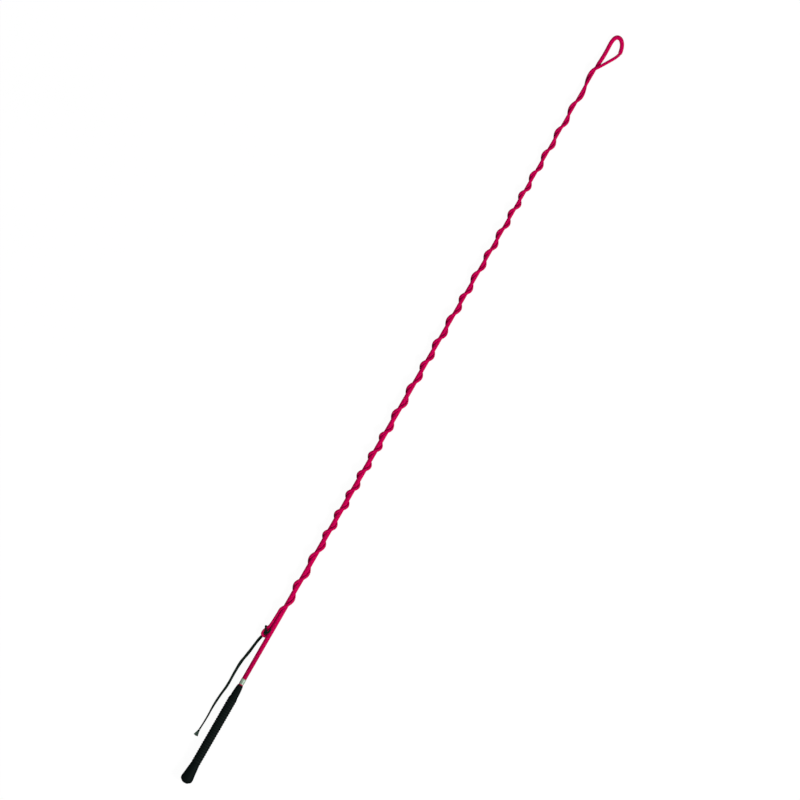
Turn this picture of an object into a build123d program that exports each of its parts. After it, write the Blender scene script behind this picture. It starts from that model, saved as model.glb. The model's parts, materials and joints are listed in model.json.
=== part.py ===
from build123d import *

import os
from math import atan, cos, pi, radians, sin, tan

# A lunge whip lying on the floor with its lash wound round the shaft. All lengths are in millimetres.
# +X runs from the butt to the tip, +Z is up, and the floor is Z = 0.
# Along the whip, stations are measured from the butt's outer end.

# Driving dimensions: the rigid whip
WHIP_LENGTH = 1800.0
FLARE_RADIUS = 13.75
FLARE_STATION = 11.0
FLARE_END = 47.0
GRIP_RADIUS = 9.6
RIB_HEIGHT = 0.85
RIB_PITCH = 5.8
RIB_COUNT = 28
RIB_CREST = 2.4
NOSE_RADIUS = 8.5
GRIP_END = 245.6
TUBE_RADIUS = 6.6
TUBE_START = 12.0
TUBE_END = 240.0
COLLAR_START = 247.8
COLLAR_LENGTH = 13.0
COLLAR_WALL = 0.9
BRAID_START = 34.0
BRAID_WALL = 0.95
GRIPPED_RADIUS = 4.6
BARE_START = 266.0
BARE_END = 338.0
SHAFT_RADIUS = 4.65
TIP_RADIUS = 2.6
FIT_GAP = 0.05

# Driving dimensions: the lash, its keeper and the popper
THONG_DIAMETER = 5.0
KEEPER_DIAMETER = 8.0
POPPER_DIAMETER = 4.4
WINDING_START = 430.0
WINDING_END = 1786.0
EYE_TUBE_RADIUS = 2.3
EYE_HALF_WIDTH = 4.4
EYE_LENGTH = 24.5
EYE_HEIGHT = 7.6
EYE_CENTRE = (-525.6, 9.7)
HITCH_STRAND_RADIUS = 1.7
HITCH_RING_RADIUS = 4.6
HITCH_RING_CENTRE = (-517.5, 10.2, 8.3)
PIVOT = (-530.0, 9.7)
POST_RADIUS = 1.8

# The winding's lower side and the butt's flare rest on the floor, so the whip's axis dips towards its tip
WINDING_TIP_RADIUS = TIP_RADIUS + THONG_DIAMETER + 0.2
DIP = atan((FLARE_RADIUS - WINDING_TIP_RADIUS) / (WINDING_END - FLARE_STATION))
AXIS_DIRECTION = Vector(cos(DIP), 0, -sin(DIP))
BUTT = Vector(-WHIP_LENGTH / 2 * cos(DIP), 0, FLARE_RADIUS + FLARE_STATION * sin(DIP) + 0.01)
WHIP_AXIS = Axis(BUTT, AXIS_DIRECTION)
WHIP_PLANE = Plane(origin=BUTT, x_dir=AXIS_DIRECTION, z_dir=(0, -1, 0))

pieces = {}


def on_axis(station):
    """The point of the whip's axis at a station."""
    return BUTT + AXIS_DIRECTION * station


def keep(name, builder):
    """Label a finished piece with its node's name."""
    builder.part.label = name
    pieces[name] = builder.part


# Shaft: a tapered glass-fibre rod inside a braided cover

# The outer radius of the braided shaft: a true cylinder as far as the winding, then a long taper
TAPER = [
    (0.0, SHAFT_RADIUS),
    (BARE_END, SHAFT_RADIUS),
    (770.0, 4.6),
    (960.0, 4.4),
    (1140.0, 3.75),
    (1310.0, 3.3),
    (1520.0, 2.95),
    (WHIP_LENGTH, TIP_RADIUS),
]


def shaft_radius(station):
    """The braid's outer radius at a station."""
    for (start, radius), (end, next_radius) in zip(TAPER, TAPER[1:]):
        if station <= end:
            return radius + (next_radius - radius) * (station - start) / (end - start)


def shaft_outline(inset, start, end):
    """Points of the shaft's taper, inset from the braid's outer face."""
    stations = [start] + [station for station, _ in TAPER if start < station < end] + [end]
    return [(station, shaft_radius(station) - inset) for station in stations]


with BuildPart() as core_rod:
    with BuildSketch(WHIP_PLANE):
        with BuildLine():
            rod_side = shaft_outline(BRAID_WALL + FIT_GAP, TUBE_START + 1, WHIP_LENGTH)
            Polyline(rod_side)
            Polyline(rod_side[0], (rod_side[0][0], 0), (rod_side[-1][0], 0), rod_side[-1])
        make_face()
    revolve(axis=WHIP_AXIS)
keep("core_rod", core_rod)

with BuildPart() as braid_cover:
    with BuildSketch(WHIP_PLANE):
        with BuildLine():
            # The handle and the collar squeeze the braid a little
            squeezed = [(BRAID_START, GRIPPED_RADIUS), (COLLAR_START + COLLAR_LENGTH, GRIPPED_RADIUS)]
            outside = squeezed + shaft_outline(0, BARE_START, WHIP_LENGTH)
            inside = shaft_outline(BRAID_WALL, BRAID_START, WHIP_LENGTH)
            Polyline(outside)
            Polyline(inside)
            Line(outside[0], inside[0])
            Line(outside[-1], inside[-1])
        make_face()
    revolve(axis=WHIP_AXIS)
keep("braid_cover", braid_cover)


# Handle: a stiff tube over the braided shaft, a ribbed rubber grip over the tube, and a flared cap

with BuildPart() as handle_tube:
    with BuildSketch(WHIP_PLANE):
        with BuildLine():
            bore = GRIPPED_RADIUS + FIT_GAP
            Polyline((TUBE_START, bore), (TUBE_START, TUBE_RADIUS), (TUBE_END, TUBE_RADIUS),
                     (TUBE_END, bore), close=True)
        make_face()
    revolve(axis=WHIP_AXIS)
keep("handle_tube", handle_tube)

with BuildPart() as grip_sleeve:
    with BuildSketch(WHIP_PLANE):
        with BuildLine() as grip_outline:
            tube_bore = TUBE_RADIUS + FIT_GAP
            nose_bore = GRIPPED_RADIUS + FIT_GAP
            ribs_start = FLARE_END + RIB_PITCH - RIB_CREST
            ribs_end = ribs_start + RIB_COUNT * RIB_PITCH
            Polyline((ribs_start, GRIP_RADIUS), (FLARE_END + FIT_GAP, GRIP_RADIUS),
                     (FLARE_END + FIT_GAP, tube_bore), (TUBE_END + FIT_GAP, tube_bore),
                     (TUBE_END + FIT_GAP, nose_bore), (GRIP_END, nose_bore), (GRIP_END, nose_bore + 1))
            nose = Spline((ribs_end + 3, NOSE_RADIUS), (ribs_end + 16, 8.1), (GRIP_END - 4, 6.8),
                          tangents=[(1, 0), (1, -0.14)])
            TangentArc(nose @ 1, (GRIP_END, nose_bore + 1), tangent=nose % 1)
            Line((ribs_end, GRIP_RADIUS), (ribs_end + 3, NOSE_RADIUS))
            for index in range(RIB_COUNT):
                rib = ribs_start + index * RIB_PITCH
                ThreePointArc((rib, GRIP_RADIUS), (rib + RIB_CREST / 2, GRIP_RADIUS + RIB_HEIGHT),
                              (rib + RIB_CREST, GRIP_RADIUS))
                Line((rib + RIB_CREST, GRIP_RADIUS), (rib + RIB_PITCH, GRIP_RADIUS))
        make_face()
    revolve(axis=WHIP_AXIS)
keep("grip_sleeve", grip_sleeve)

with BuildPart() as butt_cap:
    with BuildSketch(WHIP_PLANE):
        with BuildLine():
            Polyline((0, 0), (TUBE_START, 0), (TUBE_START, tube_bore), (FLARE_END, tube_bore),
                     (FLARE_END, GRIP_RADIUS + 0.3))
            widest = (FLARE_STATION, FLARE_RADIUS)
            Spline((FLARE_END, GRIP_RADIUS + 0.3), (30, 11.7), (20, 12.8), widest,
                   tangents=[(-1, 0.07), (-1, 0)])
            Spline(widest, (6, 12.3), (3, 8.9), (0, 0), tangents=[(-1, 0), (0, -1)])
        make_face()
    revolve(axis=WHIP_AXIS)
keep("butt_cap", butt_cap)

with BuildPart() as collar:
    with BuildSketch(WHIP_PLANE):
        with Locations((COLLAR_START + COLLAR_LENGTH / 2, GRIPPED_RADIUS + FIT_GAP + COLLAR_WALL / 2)):
            Rectangle(COLLAR_LENGTH, COLLAR_WALL)
    revolve(axis=WHIP_AXIS)
    fillet(collar.edges().filter_by(GeomType.CIRCLE).group_by(SortBy.RADIUS)[-1], radius=0.35)
keep("collar", collar)

# A whipping of thread binds the keeper's root to the rod's tip

WHIPPING_TURNS = 5
THREAD = 1.0
with BuildPart() as tip_whipping:
    with BuildSketch(WHIP_PLANE):
        with BuildLine():
            whipping_start = WHIP_LENGTH - (WHIPPING_TURNS + 1) * THREAD
            whipping_end = WHIP_LENGTH - THREAD
            whipping_bore = TIP_RADIUS + 2 * FIT_GAP
            valley = whipping_bore + 0.4 * THREAD
            Polyline((whipping_start, valley), (whipping_start, whipping_bore),
                     (whipping_end, whipping_bore), (whipping_end, valley))
            for index in range(WHIPPING_TURNS):
                turn = whipping_start + index * THREAD
                ThreePointArc((turn, valley), (turn + THREAD / 2, valley + THREAD / 2),
                              (turn + THREAD, valley))
        make_face()
    revolve(axis=WHIP_AXIS)
keep("tip_whipping", tip_whipping)


# Cords: straight runs joined by tangent arcs, as large as each corner's two runs allow

ARC_SHARE = 0.45


def corner_radii(points):
    """The radius at each inner point of a route: a share of its shorter run."""
    radii = []
    for before, corner, after in zip(points, points[1:], points[2:]):
        run_in = Vector(*corner) - Vector(*before)
        run_out = Vector(*after) - Vector(*corner)
        half_turn = radians(run_in.get_angle(run_out)) / 2
        radii.append(ARC_SHARE * min(run_in.length, run_out.length) / tan(half_turn))
    return radii


def cord_tube(name, points, diameter):
    """Sweep a round cord along its route and print how it came out."""
    radii = corner_radii(points)
    with BuildPart() as tube:
        with BuildLine():
            route = FilletPolyline(*points, radius=radii)
        with BuildSketch(Plane(origin=route @ 0, z_dir=route % 0)):
            Circle(diameter / 2)
        sweep()
    keep(name, tube)
    share = tube.part.volume / (pi * diameter**2 / 4 * route.length)
    print(name, "length", round(route.length, 1), "volume share", round(share, 4),
          "radii", [round(radius, 1) for radius in radii])


# Keeper: a thick braided loop that leaves the rod's tip, droops to the floor and turns back
KEEPER_Z = KEEPER_DIAMETER / 2 + 0.1
tip = on_axis(WHIP_LENGTH + 0.05)
first_bend = on_axis(WHIP_LENGTH + 13)
keeper_route = [
    (tip.X, tip.Y, tip.Z),
    (first_bend.X, first_bend.Y, first_bend.Z),
    (931, -2.5, 5.0),
    (949, -2.0, KEEPER_Z),
    (966, -1.4, KEEPER_Z + 0.1),
    (977.5, -6.0, KEEPER_Z),
    (981, -15.5, KEEPER_Z + 0.1),
    (975, -24.5, KEEPER_Z),
    (963.5, -29.6, KEEPER_Z),
    (952, -31.6, KEEPER_Z + 0.1),
]
cord_tube("keeper", keeper_route, KEEPER_DIAMETER)

# The thick braid closes down onto the thin thong in a short blunt cone
SPLICE_LENGTH = 6.5
keeper_end = Vector(*keeper_route[-1])
keeper_heading = (keeper_end - Vector(*keeper_route[-2])).normalized()
with BuildPart() as keeper_splice:
    splice_plane = Plane(origin=keeper_end, x_dir=keeper_heading, z_dir=keeper_heading.cross(Vector(0, 0, 1)))
    with BuildSketch(splice_plane):
        with BuildLine():
            Polyline((0, KEEPER_DIAMETER / 2), (0, 0), (SPLICE_LENGTH, 0), (SPLICE_LENGTH, 1.5))
            Spline((0, KEEPER_DIAMETER / 2), (SPLICE_LENGTH * 0.6, 3.4), (SPLICE_LENGTH, 1.5),
                   tangents=[(1, 0), (0.4, -1)])
        make_face()
    revolve(axis=Axis(keeper_end, keeper_heading))
keep("keeper_splice", keeper_splice)

# The thong leaves the splice, climbs over the keeper's root and enters the winding
THONG_Z = THONG_DIAMETER / 2 + 0.1
thong_return_route = [
    (948.5, -31.4, 4.0),
    (941.0, -28.2, THONG_Z + 0.6),
    (929.0, -21.2, 4.4),
    (916.0, -13.4, 8.6),
    (906.0, -7.6, 13.0),
    (897.0, -2.8, 14.8),
    (888.5, -0.2, 13.6),
]
cord_tube("thong_return", thong_return_route, THONG_DIAMETER)

# The winding: the outer shape of all the thong's turns round the shaft
with BuildPart() as thong_winding:
    with BuildSketch(WHIP_PLANE):
        with BuildLine():
            wound_on = shaft_outline(-0.1, WINDING_START, WINDING_END)
            wound_out = shaft_outline(-THONG_DIAMETER - 0.1, WINDING_START, WINDING_END)
            Polyline(wound_on)
            Polyline(wound_out)
            Line(wound_on[0], wound_out[0])
            Line(wound_on[-1], wound_out[-1])
        make_face()
    revolve(axis=WHIP_AXIS)
keep("thong_winding", thong_winding)

# The lash's last stretch lies along the shaft's side and ends in a spliced eye
winding_mouth = on_axis(WINDING_START)
end_run_start = winding_mouth + Vector(0, SHAFT_RADIUS + THONG_DIAMETER / 2 + 0.1, 0)
thong_end_route = [
    (end_run_start.X - 0.05, end_run_start.Y, end_run_start.Z),
    (-482.5, 7.3, 12.1),
    (-495.5, 7.5, 11.2),
]
cord_tube("thong_end_run", thong_end_route, THONG_DIAMETER)

eye_splice_route = [
    (-495.55, 7.5, 11.19),
    (-505.0, 7.9, 10.0),
    (-513.5, 9.0, 8.5),
]
cord_tube("eye_splice", eye_splice_route, THONG_DIAMETER + 0.4)

with BuildPart() as thong_eye:
    with BuildLine(Plane(origin=(EYE_CENTRE[0], EYE_CENTRE[1], EYE_HEIGHT))) as eye_loop:
        straight = EYE_LENGTH / 2 - EYE_HALF_WIDTH
        Line((-straight, EYE_HALF_WIDTH), (straight, EYE_HALF_WIDTH))
        ThreePointArc((straight, EYE_HALF_WIDTH), (straight + EYE_HALF_WIDTH, 0), (straight, -EYE_HALF_WIDTH))
        Line((straight, -EYE_HALF_WIDTH), (-straight, -EYE_HALF_WIDTH))
        ThreePointArc((-straight, -EYE_HALF_WIDTH), (-straight - EYE_HALF_WIDTH, 0),
                      (-straight, EYE_HALF_WIDTH))
    with BuildSketch(Plane(origin=eye_loop.line @ 0, z_dir=eye_loop.line % 0)):
        Circle(EYE_TUBE_RADIUS)
    sweep()
keep("thong_eye", thong_eye)


# Popper: hitched through the eye and round its neck, it turns on the upright strand in the eye
POPPER_Z = POPPER_DIAMETER / 2 + 0.05
KNUCKLE_TOP = 4.6
POST_TOP = 12.2
post_foot = KNUCKLE_TOP + FIT_GAP
post_head = Vector(PIVOT[0], PIVOT[1], POST_TOP)
ring_centre = Vector(*HITCH_RING_CENTRE)
ring_side = ring_centre + Vector(0, -0.7, 0.7) * HITCH_RING_RADIUS

with BuildPart() as popper_hitch:
    with BuildSketch(Plane.XY.offset(post_foot)):
        with Locations(PIVOT):
            Circle(POST_RADIUS)
    extrude(amount=POST_TOP - post_foot)
    with Locations(post_head):
        Sphere(POST_RADIUS + 0.4)
    with BuildSketch(Plane(origin=ring_centre, x_dir=(0, 1, 0), z_dir=(0, 0, 1))):
        with Locations((HITCH_RING_RADIUS, 0)):
            Circle(HITCH_STRAND_RADIUS)
    revolve(axis=Axis(ring_centre, (1, 0, 0)))
    with BuildSketch(Plane(origin=post_head, z_dir=ring_side - post_head)):
        Circle(HITCH_STRAND_RADIUS)
    extrude(amount=(ring_side - post_head).length)
keep("popper_hitch", popper_hitch)

popper_route = [
    (PIVOT[0], PIVOT[1], POPPER_Z),
    (-541, 13.4, POPPER_Z),
    (-562, 17.4, POPPER_Z),
    (-588, 20.4, POPPER_Z),
    (-611, 25.0, POPPER_Z),
    (-640, 25.4, POPPER_Z),
    (-671, 24.4, POPPER_Z),
    (-697, 27.6, POPPER_Z),
    (-727, 29.2, POPPER_Z),
    (-757, 28.2, POPPER_Z),
    (-784.5, 29.8, POPPER_Z),
]
popper_radii = corner_radii(popper_route)
with BuildPart() as popper_cord:
    with BuildLine():
        popper_line = FilletPolyline(*popper_route, radius=popper_radii)
    with BuildSketch(Plane(origin=popper_line @ 0, z_dir=popper_line % 0)):
        Circle(POPPER_DIAMETER / 2)
    sweep()
    with Locations((PIVOT[0], PIVOT[1], POPPER_Z)):
        Sphere(POPPER_DIAMETER / 2)
    with BuildSketch(Plane.XY.offset(POPPER_Z)):
        with Locations(PIVOT):
            Circle(POST_RADIUS)
    extrude(amount=KNUCKLE_TOP - POPPER_Z)
keep("popper_cord", popper_cord)
print("popper_cord length", round(popper_line.length, 1),
      "radii", [round(radius, 1) for radius in popper_radii])

# The popper's frayed end: a small knot and a flat flared tuft
popper_end = Vector(*popper_route[-1])
popper_heading = (popper_end - Vector(*popper_route[-2])).normalized()
KNOT_RADIUS = 2.25
with BuildPart() as popper_knot:
    with Locations(popper_end + popper_heading * (KNOT_RADIUS - 0.25)):
        Sphere(KNOT_RADIUS)
    split(bisect_by=Plane(origin=popper_end + popper_heading * FIT_GAP, z_dir=popper_heading), keep=Keep.TOP)
keep("popper_knot", popper_knot)

TUFT_START = 4.3
TUFT_LENGTH = 10.5
with BuildPart() as popper_tuft:
    for reach, width, height in ((TUFT_START, 2.6, 2.6), (TUFT_START + TUFT_LENGTH, 9.0, 3.6)):
        with BuildSketch(Plane(origin=popper_end + popper_heading * reach, x_dir=(0, 1, 0),
                               z_dir=popper_heading)):
            RectangleRounded(width, height, radius=height * 0.45)
    loft()
keep("popper_tuft", popper_tuft)

os.makedirs("parts", exist_ok=True)
for node, piece in pieces.items():
    export_step(piece, f"parts/{node}.step")
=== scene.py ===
"""A lunge whip on a pale studio floor, with its braided thong wound round the shaft.

+X runs from the butt to the tip and +Z is up. Lengths are in metres, and in the tables below in millimetres.
"""

import json
from math import ceil, cos, pi, radians, sin

import bpy
import numpy as np
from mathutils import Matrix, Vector, kdtree


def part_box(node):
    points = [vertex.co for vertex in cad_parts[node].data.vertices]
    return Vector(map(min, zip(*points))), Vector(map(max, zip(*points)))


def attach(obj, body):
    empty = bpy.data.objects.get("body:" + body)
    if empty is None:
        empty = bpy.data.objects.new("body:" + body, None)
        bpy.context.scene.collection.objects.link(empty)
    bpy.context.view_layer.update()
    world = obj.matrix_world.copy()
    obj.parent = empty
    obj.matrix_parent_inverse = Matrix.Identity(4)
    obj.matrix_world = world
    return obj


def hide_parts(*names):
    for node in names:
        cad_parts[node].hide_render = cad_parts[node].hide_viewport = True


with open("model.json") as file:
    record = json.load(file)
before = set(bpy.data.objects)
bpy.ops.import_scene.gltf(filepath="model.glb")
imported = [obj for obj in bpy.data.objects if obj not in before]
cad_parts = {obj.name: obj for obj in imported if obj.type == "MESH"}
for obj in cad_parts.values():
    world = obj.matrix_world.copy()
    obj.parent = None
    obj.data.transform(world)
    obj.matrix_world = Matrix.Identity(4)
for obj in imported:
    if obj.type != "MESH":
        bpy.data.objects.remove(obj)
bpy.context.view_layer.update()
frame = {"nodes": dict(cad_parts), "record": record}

MM = 0.001
nodes = frame["nodes"]
rng = np.random.default_rng(7)

# The whip's own axis, from the mount on its bare stretch
clip = next(mount for mount in frame["record"]["mounts"] if mount["name"] == "shaft_clip")
AXIS_POINT = Vector(clip["pos_m"])
AXIS = Vector(clip["axis"]).normalized()
SIDE = Vector((0, 1, 0))
UP = AXIS.cross(SIDE)
WHIP_LENGTH = 1800 * MM
BUTT_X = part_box("butt_cap")[0].x
TIP_X = BUTT_X + WHIP_LENGTH * AXIS.x


def on_axis(x):
    """The point of the whip's axis at x."""
    return AXIS_POINT + AXIS * ((x - AXIS_POINT.x) / AXIS.x)


# ---------------------------------------------------------------- camera

CAMERA_HEIGHT = 7.0
VIEW_WIDTH = 1.7465
WHIP_ANGLE = radians(60.08)
VIEW_CENTRE = Vector((0.0571, 0.0088, 0.0))


def make_camera():
    """Straight above the floor, turned so that the whip runs from lower left to upper right."""
    data = bpy.data.cameras.new("camera")
    data.sensor_width = 36.0
    data.lens = data.sensor_width * CAMERA_HEIGHT / VIEW_WIDTH
    data.clip_end = 50
    camera = bpy.data.objects.new("camera", data)
    camera.location = VIEW_CENTRE + Vector((0, 0, CAMERA_HEIGHT))
    camera.rotation_euler = (0, 0, -WHIP_ANGLE)
    bpy.context.scene.collection.objects.link(camera)
    bpy.context.scene.camera = camera


make_camera()

# ---------------------------------------------------------------- cord routes, in millimetres

KEEPER_ROUTE = [
    (900.05, 0, 7.76), (913.0, -1.5, 7.6), (931, -2.3, 5.0), (949, -2.0, 4.1), (966, -1.2, 4.2),
    (978.5, -4.8, 4.1), (981, -14.0, 4.2), (974, -22.8, 4.1), (964, -27.6, 4.1), (955, -29.8, 4.2),
    (949, -30.8, 4.2),
]
THONG_START = [
    (949.5, -30.2, 4.0), (941, -27.6, 3.4), (929.5, -21.1, 4.6), (916, -13.4, 8.6), (906, -7.6, 13.0),
    (898.5, -3.2, 14.8),
]
THONG_END = [(-482.5, 6.9, 11.8), (-495.5, 7.2, 10.4)]
SPLICE_ROUTE = [
    (-470, 6.2, 12.6), (-477, 6.9, 12.4), (-486, 7.4, 12.2), (-496, 7.6, 11.8), (-505, 8.1, 11.2),
    (-512.5, 9.1, 10.2), (-519, 9.8, 10.4), (-524, 10.2, 9.6),
]
EYE_ROUTE = [
    (-508.0, 8.6, 10.4), (-514.5, 10.6, 10.0), (-521, 13.8, 9.8), (-529, 16.2, 9.8), (-535.5, 15.4, 9.8),
    (-537.5, 9.8, 9.8), (-535.5, 5.4, 9.6), (-529, 4.9, 9.4), (-522, 5.2, 9.4), (-515, 6.2, 9.8),
    (-508.0, 7.2, 10.4),
]
HITCH_ROUTE = [
    (-530, 9.7, 3.4), (-530, 9.7, 6.5), (-529.9, 9.4, 11.4), (-527.4, 7.2, 14.8), (-524.2, 4.7, 17.2),
    (-520.4, 3.5, 17.8), (-517.0, 3.8, 16.6), (-515.2, 4.8, 12.0), (-516.0, 5.2, 6.4), (-516.4, 8.0, 3.5),
    (-516.4, 11.0, 3.4), (-516.2, 14.6, 4.4), (-515.8, 16.7, 7.4), (-516.2, 16.9, 11.0), (-518.8, 15.0, 13.8),
    (-522.8, 12.4, 14.0), (-526.2, 9.8, 14.0), (-529.4, 8.0, 13.2), (-531.5, 9.4, 12.0), (-530.4, 11.6, 11.6),
    (-527.2, 11.8, 11.8), (-525.4, 10.6, 11.6), (-526.4, 8.4, 11.8), (-528.6, 8.8, 11.6),
]
POPPER_ROUTE = [
    (-530, 9.7, 2.25), (-541, 14.1, 2.25), (-562, 17.4, 2.25), (-588, 20.4, 2.25), (-611, 25.0, 2.25),
    (-640, 25.4, 2.25), (-671, 24.4, 2.25), (-697, 27.9, 2.25), (-727, 29.4, 2.25), (-757, 28.2, 2.25),
    (-784.5, 29.8, 2.25),
]

# The braided shaft's outer radius by distance from the butt
SHAFT_TAPER = [
    (0, 4.6), (264, 4.6), (266, 4.65), (338, 4.65), (770, 4.6), (960, 4.4), (1140, 3.75), (1310, 3.3),
    (1520, 2.95), (1800, 2.6),
]
THONG_DIAMETER = 5.0 * MM
KEEPER_DIAMETER = 8.0 * MM
HITCH_RADIUS = 2.1 * MM
EYE_RADIUS = 2.9 * MM
# The crowns of a braid's strands stand this much outside its nominal size
PROUD = 0.6 * MM


def shaft_radius(distance):
    """The braided shaft's outer radius at a distance from the butt, both in metres."""
    stations, radii = zip(*SHAFT_TAPER)
    return np.interp(np.asarray(distance) / MM, stations, radii) * MM


# The thong's turns, from the tip's end to the handle's: each one's length along the shaft
WINDING_TOP_X = 898.5
WINDING_LEFT_X = 879.0
WINDING_RIGHT_X = 828.7
TURN_LENGTHS = [65, 59, 54, 52, 44, 48, 54, 52, 59, 48, 63, 57, 52, 65, 63, 48, 48, 50, 48, 52, 50, 70, 65]
LAST_QUARTERS = (18, 15)
POINTS_PER_TURN = 14
# A quadratic spline runs this much inside the control points of a circle
SPLINE_SHRINK = (3 + cos(2 * pi / POINTS_PER_TURN)) / 4


def winding_points():
    """Control points of the thong's turns, in metres, from its crossing at the tip to the handle's side."""
    stations = [WINDING_TOP_X, WINDING_LEFT_X, WINDING_RIGHT_X]
    turns = [-0.25, 0.0, 0.5]
    for length in TURN_LENGTHS:
        stations.append(stations[-1] - length)
        turns.append(turns[-1] + 1)
    for length in LAST_QUARTERS:
        stations.append(stations[-1] - length)
        turns.append(turns[-1] + 0.25)
    count = ceil((turns[-1] - turns[0]) * POINTS_PER_TURN)
    points = []
    # The turns lie looser towards the handle, and not all alike
    for step in range(1, count + 1):
        turn = turns[0] + (turns[-1] - turns[0]) * step / count
        x = float(np.interp(turn, turns, stations)) * MM
        slack = (0.05 + 0.08 * (TIP_X - x) * (1 + sin(turn * 2.3))) * MM
        radius = (float(shaft_radius(x - BUTT_X)) + THONG_DIAMETER / 2 + slack) / SPLINE_SHRINK
        angle = -2 * pi * turn
        points.append(on_axis(x) + (SIDE * cos(angle) + UP * sin(angle)) * radius)
    return points


def in_metres(points):
    """The points of a route above, which are in millimetres, as vectors in metres."""
    return [Vector(point) * MM for point in points]


def spline_line(points):
    """Points close together on the quadratic NURBS spline that has these control points."""
    curve = bpy.data.curves.new("route", "CURVE")
    curve.dimensions = "3D"
    curve.resolution_u = 12
    spline = curve.splines.new("NURBS")
    spline.points.add(len(points) - 1)
    for target, point in zip(spline.points, points):
        target.co = (*point, 1)
    spline.order_u = 3
    spline.use_endpoint_u = True
    holder = bpy.data.objects.new("route", curve)
    bpy.context.scene.collection.objects.link(holder)
    line = bpy.data.meshes.new_from_object(holder)
    path = np.array([vertex.co for vertex in line.vertices])
    bpy.data.meshes.remove(line)
    bpy.data.objects.remove(holder)
    bpy.data.curves.remove(curve)
    return path


keeper_line = spline_line(in_metres(KEEPER_ROUTE))
thong_line = spline_line(in_metres(THONG_START) + winding_points() + in_metres(THONG_END))
splice_line = spline_line(in_metres(SPLICE_ROUTE))
eye_line = spline_line(in_metres(EYE_ROUTE))
hitch_line = spline_line(in_metres(HITCH_ROUTE))
popper_line = spline_line(in_metres(POPPER_ROUTE))


def line_length(line):
    """The length of a line given by its points."""
    return float(np.linalg.norm(np.diff(line, axis=0), axis=1).sum())


# ---------------------------------------------------------------- mesh builders

def resample(line, distances):
    """The points and unit tangents of a line at distances along it."""
    steps = np.linalg.norm(np.diff(line, axis=0), axis=1)
    reach = np.concatenate([[0], np.cumsum(steps)])
    points = np.stack([np.interp(distances, reach, line[:, axis]) for axis in range(3)], axis=1)
    tangents = np.gradient(points, axis=0)
    return points, tangents / np.linalg.norm(tangents, axis=1)[:, None]


def frames(tangents, start=(0, 0, 1)):
    """Two unit directions across each tangent, turning as little as possible along the line."""
    first = np.zeros_like(tangents)
    across = np.array(start, float)
    for index, tangent in enumerate(tangents):
        across = across - tangent * (across @ tangent)
        across /= np.linalg.norm(across)
        first[index] = across
    return first, np.cross(tangents, first)


def new_object(name, vertices, faces):
    """A smooth-shaded mesh object in the scene."""
    mesh = bpy.data.meshes.new(name)
    mesh.from_pydata(vertices, [], faces)
    mesh.polygons.foreach_set("use_smooth", [True] * len(mesh.polygons))
    mesh.update()
    made = bpy.data.objects.new(name, mesh)
    bpy.context.scene.collection.objects.link(made)
    return made


# How far above the floor a laid cord rests, and the least height of any braid
LAID_HEIGHT = 0.05 * MM
LEAST_HEIGHT = 0.02 * MM
# Depth of a weave's grooves below its crowns, as a share of its relief
GROOVE = 0.55


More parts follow.
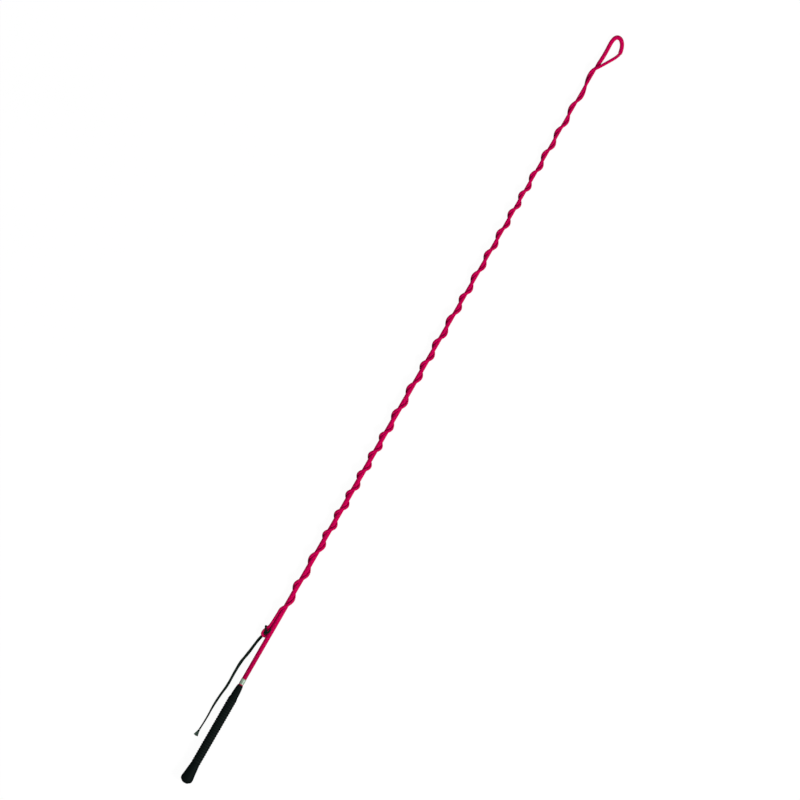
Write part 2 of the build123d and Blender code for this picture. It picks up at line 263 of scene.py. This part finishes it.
def braided_tube(name, line, radius, strands, pitch, relief, fineness=4, flat=None, on_floor=False):
    """A closed tube of interlaced strands along a line.

    radius(distance) is the tube's outer radius, strands is the number that run each way round, and pitch is
    the length along the tube of two crossings. relief is how deep the weave is. The mesh's edges run along
    the strands, fineness of them to a strand's width. flat(distance) gives the section's height over its
    width and how far it has turned. on_floor lays the tube's underside on the floor.
    """
    count = strands * fineness
    length = line_length(line)
    rings = max(4, int(length / (pitch / (2 * fineness))) + 1)
    distances = np.linspace(0, length, rings)
    points, tangents = resample(line, distances)
    first, second = frames(tangents)

    ring, place = np.meshgrid(np.arange(rings), np.arange(count), indexing="ij")
    left = place - ring // 2
    right = place + (ring + 1) // 2
    angle = 2 * pi * (place + (ring % 2) / 2) / count

    # Height of the woven surface below the strands' crowns, from the place within the crossing
    across_a = left / fineness - np.round(left / fineness)
    across_b = right / fineness - np.round(right / fineness)
    edge_a = np.isclose(np.abs(across_a), 0.5)
    edge_b = np.isclose(np.abs(across_b), 0.5)
    a_on_top = (np.round(left / fineness) + np.round(right / fineness)) % 2 == 0
    width = np.where(a_on_top, across_a, across_b)
    along = np.where(a_on_top, across_b, across_a)
    depth = GROOVE * (2 * width) ** 2 + GROOVE * (2 * along) ** 4
    depth = np.where(edge_a, GROOVE + GROOVE * np.abs(2 * across_b) ** 3, depth)
    depth = np.where(edge_b, GROOVE + GROOVE * np.abs(2 * across_a) ** 3, depth)

    outer = np.asarray(radius(distances))[:, None]
    shrink = np.minimum(1, outer / (3 * relief))
    reach = outer - relief * depth * shrink
    tall, turned = flat(distances) if flat else (np.ones(rings), np.zeros(rings))
    wide = np.cos(angle - turned[:, None]) * reach
    high = np.sin(angle - turned[:, None]) * reach * tall[:, None]
    cos_turn, sin_turn = np.cos(turned)[:, None], np.sin(turned)[:, None]
    along_first = wide * cos_turn - high * sin_turn
    along_second = wide * sin_turn + high * cos_turn
    spots = (points[:, None, :] + along_first[:, :, None] * first[:, None, :]
             + along_second[:, :, None] * second[:, None, :])
    if on_floor:
        spots[:, :, 2] += (LAID_HEIGHT - spots[:, :, 2].min(axis=1))[:, None]
    # A tube that would dip below the floor is pressed flat on it
    spots[:, :, 2] = np.maximum(spots[:, :, 2], LEAST_HEIGHT)
    vertices = np.vstack([spots.reshape(-1, 3), spots[0].mean(axis=0), spots[-1].mean(axis=0)])

    # One face to each cell of the strands' lattice; its corners lie on three rings
    row, spot = np.meshgrid(np.arange(1, rings - 1), np.arange(count), indexing="ij")
    row, spot = row.ravel(), spot.ravel()
    u, v = spot - row // 2, spot + (row + 1) // 2

    def vertex(u, v):
        return (v - u) * count + (u + (v - u) // 2) % count

    corners = [(0, 0), (1, 0), (1, 1), (0, 1)]
    quads = np.stack([vertex(u + du, v + dv) for du, dv in corners], axis=1)
    strand_a = np.round((u + 0.5) / fineness)
    strand_b = np.round((v + 0.5) / fineness)
    top_is_a = (strand_a + strand_b) % 2 == 0
    tones = rng.random((2, strands))
    # Every other strand of those that run one way round is the lighter, which gives the braid its slant
    tones[0] = 0.2 * tones[0] + 0.8 * (np.arange(strands) % 2)
    tone_a = tones[0][strand_a.astype(int) % strands]
    tone_b = tones[1][strand_b.astype(int) % strands]
    tone = np.where(top_is_a, tone_a, tone_b)
    weave = np.zeros((len(quads), 4, 3), np.float32)
    for corner, (du, dv) in enumerate(corners):
        off_a, off_b = (u + du) / fineness - strand_a, (v + dv) / fineness - strand_b
        weave[:, corner, 0] = np.where(top_is_a, off_a, off_b)
        weave[:, corner, 1] = np.where(top_is_a, (v + dv), (u + du)) / fineness
        weave[:, corner, 2] = tone

    caps = []
    for low, centre in ((0, rings * count), (rings - 2, rings * count + 1)):
        for step in range(count):
            near = low * count + step
            far = (low + 1) * count + (step + low % 2) % count
            after = low * count + (step + 1) % count
            fan = [(centre, near, far), (centre, far, after)]
            caps += fan if low else [face[::-1] for face in fan]
    faces = [tuple(quad) for quad in quads.tolist()] + caps
    made = new_object(name, vertices, faces)
    mesh = made.data
    corner_weave = np.zeros((len(mesh.loops), 3), np.float32)
    corner_weave[:len(quads) * 4] = weave.reshape(-1, 3)
    mesh.attributes.new("weave", "FLOAT_VECTOR", "CORNER").data.foreach_set("vector", corner_weave.ravel())
    # The groove depth is also kept for the material, which paints shade in the crevices from it
    point_depth = np.concatenate([depth.ravel(), [1, 1]]).astype(np.float32)
    mesh.attributes.new("depth", "FLOAT", "POINT").data.foreach_set("value", point_depth)
    return made


# The painted shadow on a tucked surface fades over this distance from the other piece, and over this height
TUCKED_REACH = 7 * MM
TUCKED_HEIGHT = 4 * MM


def paint_shade_near(piece, line, radius, reach, strength, tucked=0.0):
    """Paint shade into a braid's colour where its surface comes close to another round piece along a line.

    radius(x) is the other piece's. tucked paints a further shadow where the surface lies under the other
    piece's far side, its +Y side, away from the key light.
    """
    tree = kdtree.KDTree(len(line))
    for index, point in enumerate(line):
        tree.insert(point, index)
    tree.balance()
    data = piece.data.attributes["depth"].data
    depth = np.zeros(len(data), np.float32)
    data.foreach_get("value", depth)
    for index, vertex in enumerate(piece.data.vertices):
        nearest, _, away = tree.find(vertex.co)
        gap = away - radius(vertex.co.x)
        # Painted contact shade, deepest where the surfaces touch
        depth[index] += strength * max(0.0, 1 - max(gap, 0.0) / reach) ** 1.5
        # Painted shadow on the side away from the key light, deepest low down beside the other piece
        if tucked and vertex.co.y > nearest.y:
            below = (nearest.z - vertex.co.z) / TUCKED_HEIGHT
            depth[index] += tucked * min(1.0, max(0.0, 0.9 + below)) * max(0.0, 1 - gap / TUCKED_REACH)
    data.foreach_set("value", depth)


def tube_parts(line, radius, sides, spacing):
    """Vertices and faces of a plain round tube along a line, with closed ends."""
    length = line_length(line)
    rings = max(4, int(length / spacing))
    points, tangents = resample(line, np.linspace(0, length, rings))
    first, second = frames(tangents, (0.3, 0.2, 1))
    angle = np.arange(sides) * 2 * pi / sides
    spots = points[:, None] + radius * (np.cos(angle)[None, :, None] * first[:, None]
                                        + np.sin(angle)[None, :, None] * second[:, None])
    faces = []
    for ring in range(rings - 1):
        for side in range(sides):
            after = (side + 1) % sides
            faces.append((ring * sides + side, ring * sides + after,
                          (ring + 1) * sides + after, (ring + 1) * sides + side))
    faces.append(tuple(reversed(range(sides))))
    faces.append(tuple((rings - 1) * sides + side for side in range(sides)))
    return spots.reshape(-1, 3).tolist(), faces


# ---------------------------------------------------------------- materials

class Shader:
    """A material's node tree, with short ways to add nodes and values."""

    def __init__(self, name):
        self.material = bpy.data.materials.new(name)
        self.material.use_nodes = True
        self.nodes = self.material.node_tree.nodes
        self.links = self.material.node_tree.links
        self.surface = self.nodes["Principled BSDF"]

    def add(self, kind, settings=None, **inputs):
        """A new node of a kind, with its settings and its inputs."""
        node = self.nodes.new("ShaderNode" + kind)
        for name, value in (settings or {}).items():
            setattr(node, name, value)
        for name, value in inputs.items():
            self.give(node, name.replace("_", " "), value)
        return node

    def give(self, node, name, value):
        """Set a socket, by name or by n and its number, to a constant or link it to an output."""
        socket = node.inputs[int(name[1:]) if name[1:].isdigit() else name]
        if isinstance(value, bpy.types.NodeSocket):
            self.links.new(value, socket)
        else:
            socket.default_value = value

    def set(self, **inputs):
        for name, value in inputs.items():
            self.give(self.surface, name.replace("_", " "), value)

    def math(self, operation, first, second=0.0):
        return self.add("Math", {"operation": operation}, n0=first, n1=second).outputs[0]

    def mix(self, share, first, second, blend="MIX"):
        """A colour between two others; share is how much of the second."""
        node = self.add("Mix", {"data_type": "RGBA", "blend_type": blend, "clamp_factor": True})
        for index, value in ((0, share), (6, first), (7, second)):
            if isinstance(value, bpy.types.NodeSocket):
                self.links.new(value, node.inputs[index])
            else:
                node.inputs[index].default_value = value if index == 0 else (*value, 1)
        return node.outputs[2]

    def ramp(self, value, low, high, start=0.0, end=1.0):
        """A number that goes from start to end as value goes from low to high."""
        node = self.add("MapRange", {"clamp": True}, Value=value)
        for name, amount in (("From Min", low), ("From Max", high), ("To Min", start), ("To Max", end)):
            node.inputs[name].default_value = amount
        return node.outputs[0]

    def place(self):
        return self.add("TexCoord").outputs["Object"]

    def noise(self, scale, detail, vector=None, distortion=0.0):
        node = self.add("TexNoise", Scale=scale, Detail=detail, Distortion=distortion)
        self.links.new(vector or self.place(), node.inputs["Vector"])
        return node.outputs[0]

    def bump(self, height, distance, strength, before=None):
        node = self.add("Bump", Height=height, Distance=distance, Strength=strength)
        if before is not None:
            self.links.new(before, node.inputs["Normal"])
        return node.outputs[0]


# How far the fibres of a yarn stand out of it
FUZZ = 0.05 * MM
# What handling leaves of a braid's colour
SOIL = (0.70, 0.70, 0.66)


def braid_material(name, light, mid, dark, sheen_tint, fibres=7.0, rough=0.8, sheen=0.15, soiled=None):
    """Woven yarn: fine fibres along each strand, a tone for each strand, and painted shade between the fibres
    and in the crevices.

    fibres is how many cross a strand's width. soiled names two places in x: the braid is dull with handling
    at the first and clean from the second.
    """
    m = Shader(name)
    weave = m.add("Attribute", {"attribute_name": "weave"}).outputs["Vector"]
    axes = m.add("SeparateXYZ", Vector=weave).outputs
    depth = m.add("Attribute", {"attribute_name": "depth"}).outputs["Fac"]
    # Fibres run along each strand, a little askew and wavy
    wobble = m.ramp(m.noise(900.0, 2.0), 0.3, 0.7, -0.35, 0.35)
    lane = m.math("ADD", m.math("MULTIPLY", axes[0], fibres), m.math("MULTIPLY", axes[1], 0.8))
    lane = m.math("ADD", lane, wobble)
    fibre = m.math("SINE", m.math("MULTIPLY", lane, 2 * pi))
    # The tone is mostly the strand's own, with broad patches and fine flecks
    patches = m.ramp(m.noise(55.0, 4.0), 0.35, 0.65)
    fleck = m.ramp(m.noise(2600.0, 2.0), 0.3, 0.75)
    tone = m.math("ADD", m.math("MULTIPLY", axes[2], 0.75), m.math("MULTIPLY", patches, 0.2))
    tone = m.math("ADD", tone, m.math("MULTIPLY", fleck, 0.15))
    base = m.mix(tone, mid, light)
    if soiled:
        along = m.add("SeparateXYZ", Vector=m.place()).outputs[0]
        base = m.mix(m.ramp(along, *soiled, 1.0, 0.0), base, SOIL, blend="MULTIPLY")
    # Painted shade: darker between the fibres and in the weave's crevices, and near other pieces where the
    # depth attribute also carries painted contact shade
    base = m.mix(m.ramp(fibre, -1.0, 1.0, 0.25, 0.0), base, dark)
    base = m.mix(m.ramp(depth, 0.2, 1.05, 0.0, 0.85), base, dark)
    normal = m.bump(fibre, FUZZ, 0.6)
    normal = m.bump(m.noise(4200.0, 3.0), FUZZ * 0.8, 0.5, normal)
    m.set(Base_Color=base, Normal=normal, Roughness=m.ramp(fleck, 0, 1, rough - 0.08, rough + 0.1),
          Sheen_Weight=sheen, Sheen_Roughness=0.45, Sheen_Tint=(*sheen_tint, 1), Specular_IOR_Level=0.02)
    return m.material


def rubber_material(name, base, dust):
    """Moulded black rubber: fine grain, faint flow marks, and a little dust in its hollows."""
    m = Shader(name)
    grain = m.noise(1500.0, 4.0)
    mottle = m.noise(70.0, 5.0)
    scuff = m.ramp(m.noise(24.0, 6.0, distortion=0.6), 0.52, 0.7)
    hollow = m.ramp(m.add("NewGeometry").outputs["Pointiness"], 0.44, 0.5, 1.0, 0.0)
    colour = m.mix(m.math("MULTIPLY", mottle, 0.5), base, tuple(1.6 * part for part in base))
    colour = m.mix(m.math("MULTIPLY", hollow, 0.35), colour, dust)
    colour = m.mix(m.math("MULTIPLY", scuff, 0.12), colour, dust)
    normal = m.bump(grain, 0.05 * MM, 0.6)
    normal = m.bump(mottle, 0.12 * MM, 0.3, normal)
    rough = m.ramp(m.math("ADD", mottle, scuff), 0.3, 1.4, 0.5, 0.75)
    m.set(Base_Color=colour, Normal=normal, Roughness=rough, Specular_IOR_Level=0.02)
    return m.material


def metal_material(name, base, shade):
    """A rolled ferrule: satin metal with turning lines, stains and fine scratches round it."""
    m = Shader(name)
    stretched = m.add("Mapping", Vector=m.place())
    stretched.inputs["Scale"].default_value = (1.0, 0.06, 0.06)
    lines = m.noise(5200.0, 3.0, stretched.outputs[0])
    bands = m.noise(330.0, 2.0, stretched.outputs[0])
    stain = m.ramp(m.noise(210.0, 5.0), 0.42, 0.66)
    colour = m.mix(m.ramp(bands, 0.38, 0.62), base, shade)
    colour = m.mix(m.math("MULTIPLY", stain, 0.45), colour, tuple(part * 0.55 for part in shade))
    m.set(Base_Color=colour, Metallic=0.3, Roughness=m.ramp(m.math("ADD", lines, stain), 0.3, 1.3, 0.4, 0.6),
          Normal=m.bump(lines, 0.02 * MM, 0.5))
    return m.material


def thread_material(name, light, dark):
    """Wound thread: a twist of fine fibres on each turn."""
    m = Shader(name)
    twist = m.add("TexWave", {"bands_direction": "DIAGONAL"}, Scale=900.0, Distortion=1.5, Detail=2.0)
    m.links.new(m.place(), twist.inputs["Vector"])
    colour = m.mix(twist.outputs["Fac"], dark, light)
    m.set(Base_Color=colour, Roughness=0.7, Sheen_Weight=0.15, Sheen_Tint=(*PINK_SHEEN, 1),
          Specular_IOR_Level=0.1, Normal=m.bump(twist.outputs["Fac"], 0.05 * MM, 0.6))
    return m.material


def glass_fibre_material(name):
    """Pultruded glass fibre: pale resin with long fibres along the rod."""
    m = Shader(name)
    stretched = m.add("Mapping", Vector=m.place())
    stretched.inputs["Scale"].default_value = (0.02, 1.0, 1.0)
    fibres = m.noise(4000.0, 3.0, stretched.outputs[0])
    m.set(Base_Color=m.mix(fibres, (0.55, 0.5, 0.36), (0.82, 0.78, 0.62)), Roughness=0.35,
          Normal=m.bump(fibres, 0.02 * MM, 0.5))
    return m.material


# Each braid's dark colour is painted shade, laid between the fibres and in the crevices
MAGENTA = {"light": (0.80, 0.001, 0.11), "mid": (0.50, 0.0, 0.07), "dark": (0.055, 0.0, 0.012)}
BLACK = {"light": (0.012, 0.022, 0.017), "mid": (0.004, 0.008, 0.006), "dark": (0.001, 0.002, 0.0015)}

PINK_SHEEN = (1, 0.02, 0.2)
GREEN_SHEEN = (0.5, 1, 0.8)

shaft_braid = braid_material("shaft_braid", **MAGENTA, sheen_tint=PINK_SHEEN, soiled=(-0.63, -0.5))
thong_braid = braid_material("thong_braid", **MAGENTA, sheen_tint=PINK_SHEEN, fibres=5.0)
black_braid = braid_material(
    "black_braid", **BLACK, sheen_tint=GREEN_SHEEN, fibres=4.0, rough=0.6, sheen=0.05)
rubber = rubber_material("rubber", (0.0026, 0.0047, 0.0044), (0.010, 0.014, 0.013))
ferrule = metal_material("ferrule", (0.36, 0.48, 0.37), (0.25, 0.34, 0.26))
thread = thread_material("thread", (0.5, 0.004, 0.07), (0.12, 0.001, 0.02))
glass_fibre = glass_fibre_material("glass_fibre")
handle_core = rubber_material("handle_core", (0.02, 0.02, 0.02), (0.08, 0.08, 0.08))


def assign(target, material):
    """Give an object one material on all its faces."""
    if target.data.materials:
        for index in range(len(target.data.materials)):
            target.material_slots[index].material = material
    else:
        target.data.materials.append(material)


for node, material in (("core_rod", glass_fibre), ("handle_tube", handle_core), ("grip_sleeve", rubber),
                       ("butt_cap", rubber), ("collar", ferrule), ("tip_whipping", thread)):
    assign(nodes[node], material)

# ---------------------------------------------------------------- the braided shaft

SHAFT_START = 244 * MM
SHAFT_END = 1799.9 * MM
shaft_line = np.array([on_axis(BUTT_X + SHAFT_START * AXIS.x), on_axis(BUTT_X + SHAFT_END * AXIS.x)])
shaft_piece = braided_tube(
    "shaft_braid", shaft_line, lambda distance: shaft_radius(SHAFT_START + distance) + PROUD,
    strands=8, pitch=4.4 * MM, relief=0.24 * MM)
assign(shaft_piece, shaft_braid)
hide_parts("braid_cover")
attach(shaft_piece, "whip")

# ---------------------------------------------------------------- the keeper

keeper_length = line_length(keeper_line)
KEEPER_ROOT_RADIUS = 2.75 * MM
KEEPER_ROOT_LENGTH = 12 * MM
KEEPER_END_LENGTH = 5.0 * MM
# How much wider the slack braid is round the loop's end, where along the keeper, and over what length
KEEPER_SLACK = 0.35 * MM
KEEPER_SLACK_PLACE = 86 * MM
KEEPER_SLACK_LENGTH = 15 * MM


def keeper_radius(distance):
    """Grows out of the shaft's tip, is looser round the loop's end, and closes down onto the thong."""
    full = KEEPER_DIAMETER / 2 + PROUD
    root = np.clip(distance / KEEPER_ROOT_LENGTH, 0, 1)
    end = np.clip((keeper_length - distance) / KEEPER_END_LENGTH, 0, 1)
    slack = KEEPER_SLACK * np.exp(-((distance - KEEPER_SLACK_PLACE) / KEEPER_SLACK_LENGTH) ** 2)
    grown = KEEPER_ROOT_RADIUS + (full - KEEPER_ROOT_RADIUS) * root ** 0.5 + slack
    return grown * (0.3 + 0.7 * np.sqrt(1 - (1 - end) ** 2))


keeper_piece = braided_tube(
    "keeper_braid", keeper_line, keeper_radius, strands=8, pitch=5.0 * MM, fineness=6, relief=0.34 * MM)
assign(keeper_piece, thong_braid)
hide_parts("keeper", "keeper_splice")
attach(keeper_piece, "whip")

# ---------------------------------------------------------------- the thong, with its spliced eye

def thong_radius(distance):
    """Full and round where it runs free, and pulled a little thinner where it is wound on."""
    return THONG_DIAMETER / 2 + np.interp(distance / MM, (0, 60, 130), (0.95, 0.9, 0.75)) * MM


thong_piece = braided_tube(
    "thong_braid", thong_line, thong_radius, strands=6, pitch=4.6 * MM, relief=0.25 * MM)
assign(thong_piece, thong_braid)
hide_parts("thong_return", "thong_winding", "thong_end_run")
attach(thong_piece, "whip")

# Typical outer radii of the braided thong and of its eye's neck, for the painted shade where they lie on the
# shaft
THONG_RADIUS = 3.1 * MM
NECK_RADIUS = 3.3 * MM
axis_line = [on_axis(BUTT_X + step * 0.5 * MM) for step in range(3600)]


def shaft_radius_at(x):
    """The braided shaft's radius over its crowns at x."""
    return float(shaft_radius(x - BUTT_X)) + PROUD


# Painted shade along the contacts: on the thong next to the shaft, with a painted shadow under its far side,
# and on the shaft along the thong, the eye's neck and the eye
paint_shade_near(thong_piece, axis_line, shaft_radius_at, reach=1.5 * MM, strength=1.6, tucked=1.1)
paint_shade_near(shaft_piece, thong_line, lambda x: THONG_RADIUS, reach=1.3 * MM, strength=1.6)
paint_shade_near(shaft_piece, splice_line, lambda x: NECK_RADIUS, reach=1.5 * MM, strength=2.0)
paint_shade_near(shaft_piece, eye_line, lambda x: EYE_RADIUS, reach=1.8 * MM, strength=1.1)

splice_length = line_length(splice_line)


def splice_radius(distance):
    """Swells from the thong to its doubled end, and closes between the eye's two legs."""
    share = np.asarray(distance) / splice_length
    swell = np.clip(share / 0.25, 0, 1)
    closing = np.clip((share - 0.7) / 0.3, 0, 1)
    return (2.7 + 0.8 * swell * swell * (3 - 2 * swell) - 0.7 * closing ** 2) * MM


splice_piece = braided_tube(
    "splice_braid", splice_line, splice_radius, strands=6, pitch=4.2 * MM, relief=0.34 * MM)
eye_piece = braided_tube(
    "eye_braid", eye_line, lambda distance: np.full(len(distance), EYE_RADIUS),
    strands=6, pitch=4.2 * MM, relief=0.28 * MM)
for piece, replaced in ((splice_piece, "eye_splice"), (eye_piece, "thong_eye")):
    assign(piece, thong_braid)
    # Painted shade where the splice and the eye lie against the shaft
    paint_shade_near(piece, axis_line, shaft_radius_at, reach=1.7 * MM, strength=2.0)
    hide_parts(replaced)
    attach(piece, "whip")

# ---------------------------------------------------------------- the popper, and its hitch on the eye

hitch_length = line_length(hitch_line)
# Where along the hitch its strand is pinched, how long that is, and by how much, all as shares
PINCH_PLACE = 0.32
PINCH_LENGTH = 0.05
PINCH_DEPTH = 0.22
HITCH_END_LENGTH = 1.6 * MM


def hitch_radius(distance):
    """The strand is squeezed thin where it passes between the eye's neck and the shaft; its end is round."""
    share = np.asarray(distance) / hitch_length
    pinch = np.exp(-((share - PINCH_PLACE) / PINCH_LENGTH) ** 2)
    end = np.clip((hitch_length - np.asarray(distance)) / HITCH_END_LENGTH, 0.05, 1)
    return HITCH_RADIUS * (1 - PINCH_DEPTH * pinch) * np.sqrt(1 - (1 - end) ** 2)


hitch_piece = braided_tube(
    "hitch_braid", hitch_line, hitch_radius, strands=4, pitch=3.2 * MM, relief=0.24 * MM)
assign(hitch_piece, black_braid)
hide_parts("popper_hitch")
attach(hitch_piece, "whip")

popper_length = line_length(popper_line)
# Half of the popper's width by distance along it, in millimetres
POPPER_WIDTHS = [
    (0, 2.7), (16, 3.4), (31, 3.1), (59, 3.5), (72, 3.1), (83, 3.6), (97, 3.2), (127, 2.95), (143, 3.1),
    (157, 2.8), (185, 2.7), (200, 2.35), (213, 2.05), (243, 1.75), (256, 1.95),
]


def popper_radius(distance):
    """Half of the popper's greatest width, which falls towards its end; its start is rounded."""
    distance = np.asarray(distance)
    reach, half = zip(*POPPER_WIDTHS)
    start = np.clip((distance + 0.4 * MM) / (2.2 * MM), 0, 1)
    return np.interp(distance / MM, reach, half) * MM * np.sqrt(1 - (1 - start) ** 2)


def popper_section(distance):
    """The flat braid lies on its side, and grows rounder towards its end."""
    share = np.asarray(distance) / popper_length
    return 0.7 + 0.2 * share, np.full(len(share), pi / 2)


popper_piece = braided_tube(
    "popper_braid", popper_line, popper_radius, strands=4, pitch=4.0 * MM, fineness=6, relief=0.36 * MM,
    flat=popper_section, on_floor=True)
assign(popper_piece, black_braid)
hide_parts("popper_cord")
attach(popper_piece, "popper")

end_point = Vector(popper_line[-1])
end_heading = (end_point - Vector(popper_line[-4])).normalized()
end_side = Vector((0, 0, 1)).cross(end_heading).normalized()


KNOT_TURNS = 2.5
KNOT_STEPS = 33
KNOT_STRAND_RADIUS = 0.85 * MM


def knot_line():
    """A strand wound tightly round the popper's end."""
    points = []
    for step in range(KNOT_STEPS + 1):
        share = step / KNOT_STEPS
        angle = 2 * pi * KNOT_TURNS * share
        radius = (1.55 + 0.25 * sin(pi * share)) * MM
        along = end_heading * (0.8 + 3.9 * share) * MM
        points.append(end_point + along + (end_side * cos(angle) + Vector((0, 0, 1)) * sin(angle)) * radius)
    return spline_line(points)


knot_piece = braided_tube(
    "knot_braid", knot_line(), lambda distance: np.full(len(distance), KNOT_STRAND_RADIUS),
    strands=3, pitch=2.0 * MM, relief=0.14 * MM)
assign(knot_piece, black_braid)
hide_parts("popper_knot")
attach(knot_piece, "popper")

FIBRES = 240
FIBRE_RADIUS = 0.26 * MM
LEAST_FIBRE_HEIGHT = 0.3 * MM
# Distances past the popper's end, in millimetres, at which the fibres start and at which the longest end
TUFT_START = 4.0
TUFT_REACH = 15.8
# Half the tuft's width at its start, and how much wider that is at its end
TUFT_HALF_WIDTH = 2.1
TUFT_FLARE = 2.7


def tuft():
    """The popper's cut end: yarn fibres that fan out, a little wavy, and rest on the floor."""
    vertices, faces = [], []
    for _ in range(FIBRES):
        spread = np.clip(rng.normal(0, 0.55), -1, 1)
        lift = rng.uniform(-1, 1) * (1 - spread * spread) ** 0.5
        reach = TUFT_REACH - 1.2 * rng.random() - 0.8 * abs(spread)
        points = []
        for share in (0, 0.25, 0.5, 0.75, 1):
            along = (TUFT_START + (reach - TUFT_START) * share) * MM
            side = spread * (TUFT_HALF_WIDTH + TUFT_FLARE * share) * MM + rng.normal(0, 0.10) * share * MM
            height = lift * (0.75 + 0.55 * share) * MM + rng.normal(0, 0.08) * share * MM
            points.append(end_point + end_heading * along + end_side * side + Vector((0, 0, height)))
            points[-1].z = max(points[-1].z, LEAST_FIBRE_HEIGHT)
        line = spline_line(points)
        part_vertices, part_faces = tube_parts(line, FIBRE_RADIUS, sides=5, spacing=1.0 * MM)
        start = len(vertices)
        vertices += part_vertices
        faces += [tuple(start + corner for corner in face) for face in part_faces]
    return new_object("tuft_fibres", vertices, faces)


def fibre_material(name, light, dark):
    """Loose yarn: light and dark fibres."""
    m = Shader(name)
    stretched = m.add("Mapping", Vector=m.place())
    stretched.inputs["Scale"].default_value = (0.12, 1.0, 1.0)
    streak = m.ramp(m.noise(1400.0, 3.0, stretched.outputs[0]), 0.35, 0.65)
    m.set(Base_Color=m.mix(streak, dark, light), Roughness=0.6, Sheen_Weight=0.15,
          Sheen_Tint=(0.75, 1, 0.9, 1), Normal=m.bump(m.noise(5000.0, 2.0), 0.03 * MM, 0.5))
    return m.material


tuft_piece = tuft()
assign(tuft_piece, fibre_material("tuft_fibre", (0.02, 0.075, 0.045), (0.002, 0.009, 0.005)))
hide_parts("popper_tuft")
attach(tuft_piece, "popper")

# ---------------------------------------------------------------- floor, light and colour

# The floor's glow as it lights the whip, and as the camera sees it
FLOOR_GLOW = 0.1
FLOOR_GLOW_SEEN = 0.95
FLOOR_HALF = 12.0
WORLD_STRENGTH = 0.62


def make_floor():
    """A plain pale floor, wider than the camera's view."""
    mesh = bpy.data.meshes.new("floor")
    corners = [(FLOOR_HALF * x, FLOOR_HALF * y, 0) for x, y in ((-1, -1), (1, -1), (1, 1), (-1, 1))]
    mesh.from_pydata(corners, [], [(0, 1, 2, 3)])
    floor = bpy.data.objects.new("floor", mesh)
    bpy.context.scene.collection.objects.link(floor)
    m = Shader("pale_floor")
    # It looks white, but throws little light back up at the whip
    seen = m.add("LightPath").outputs["Is Camera Ray"]
    m.set(Base_Color=m.mix(m.noise(3.0, 2.0), (0.05, 0.05, 0.05), (0.06, 0.06, 0.06)), Roughness=0.9,
          Specular_IOR_Level=0.0, Emission_Color=(1, 1, 1, 1),
          Emission_Strength=m.ramp(seen, 0, 1, FLOOR_GLOW, FLOOR_GLOW_SEEN))
    mesh.materials.append(m.material)


def area_light(name, place, size, watts):
    """A round lamp at a place, turned to the middle of the whip."""
    light = bpy.data.lights.new(name, "AREA")
    light.shape = "DISK"
    light.size = size
    light.energy = watts
    holder = bpy.data.objects.new(name, light)
    holder.location = place
    holder.rotation_euler = (Vector((0, 0, 0)) - Vector(place)).to_track_quat("-Z", "Y").to_euler()
    bpy.context.scene.collection.objects.link(holder)


make_floor()
area_light("key", (-0.3, -3.9, 3.3), size=1.2, watts=200)
world = bpy.data.worlds.new("studio")
world.use_nodes = True
world.node_tree.nodes["Background"].inputs["Color"].default_value = (1, 1, 1, 1)
world.node_tree.nodes["Background"].inputs["Strength"].default_value = WORLD_STRENGTH
bpy.context.scene.world = world
bpy.context.scene.view_settings.view_transform = "Standard"
